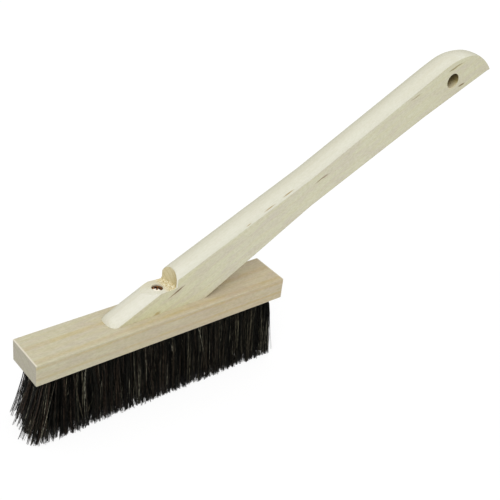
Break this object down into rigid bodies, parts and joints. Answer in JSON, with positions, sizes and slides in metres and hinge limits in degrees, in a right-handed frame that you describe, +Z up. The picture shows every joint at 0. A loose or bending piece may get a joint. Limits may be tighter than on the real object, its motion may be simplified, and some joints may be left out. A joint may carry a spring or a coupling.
{
  "type": "plastering brush",
  "caption": "Block brush: a wooden block set with dark natural bristles and a long, angled wooden handle with a hanging hole, for wetting, smoothing and limewashing walls.",
  "frame": {"origin": "middle of the base of the whole brush's box, on the surface that the bristle tips stand on", "axes": "+X along the block towards the handle's tip, +Y across the block, away from the side that the picture shows, +Z up from the bristle tips"},
  "size_m": [0.473, 0.0414, 0.2531],
  "materials": {
    "block_wood": "planed and sanded, unfinished light hardwood",
    "handle_wood": "planed and sanded, unfinished pale hardwood",
    "screw_metal": "bright, slightly brushed",
    "bristle_hair": "dark natural hair with a dull sheen"
  },
  "bodies": {
    "root": {"block": "block_wood", "handle": "handle_wood", "handle_screw": "screw_metal", "tuft_rank_01": "bristle_hair", "tuft_rank_02": "bristle_hair", "tuft_rank_03": "bristle_hair", "tuft_rank_04": "bristle_hair", "tuft_rank_05": "bristle_hair", "tuft_rank_06": "bristle_hair", "tuft_rank_07": "bristle_hair", "tuft_rank_08": "bristle_hair", "tuft_rank_09": "bristle_hair", "tuft_rank_10": "bristle_hair", "tuft_rank_11": "bristle_hair", "tuft_rank_12": "bristle_hair", "tuft_rank_13": "bristle_hair", "tuft_rank_14": "bristle_hair", "tuft_rank_15": "bristle_hair", "tuft_rank_16": "bristle_hair", "tuft_rank_17": "bristle_hair", "tuft_rank_18": "bristle_hair", "tuft_rank_19": "bristle_hair", "tuft_rank_20": "bristle_hair", "tuft_rank_21": "bristle_hair", "tuft_rank_22": "bristle_hair", "tuft_rank_23": "bristle_hair", "tuft_rank_24": "bristle_hair", "tuft_rank_25": "bristle_hair", "tuft_rank_26": "bristle_hair"}
  },
  "joints": []
}
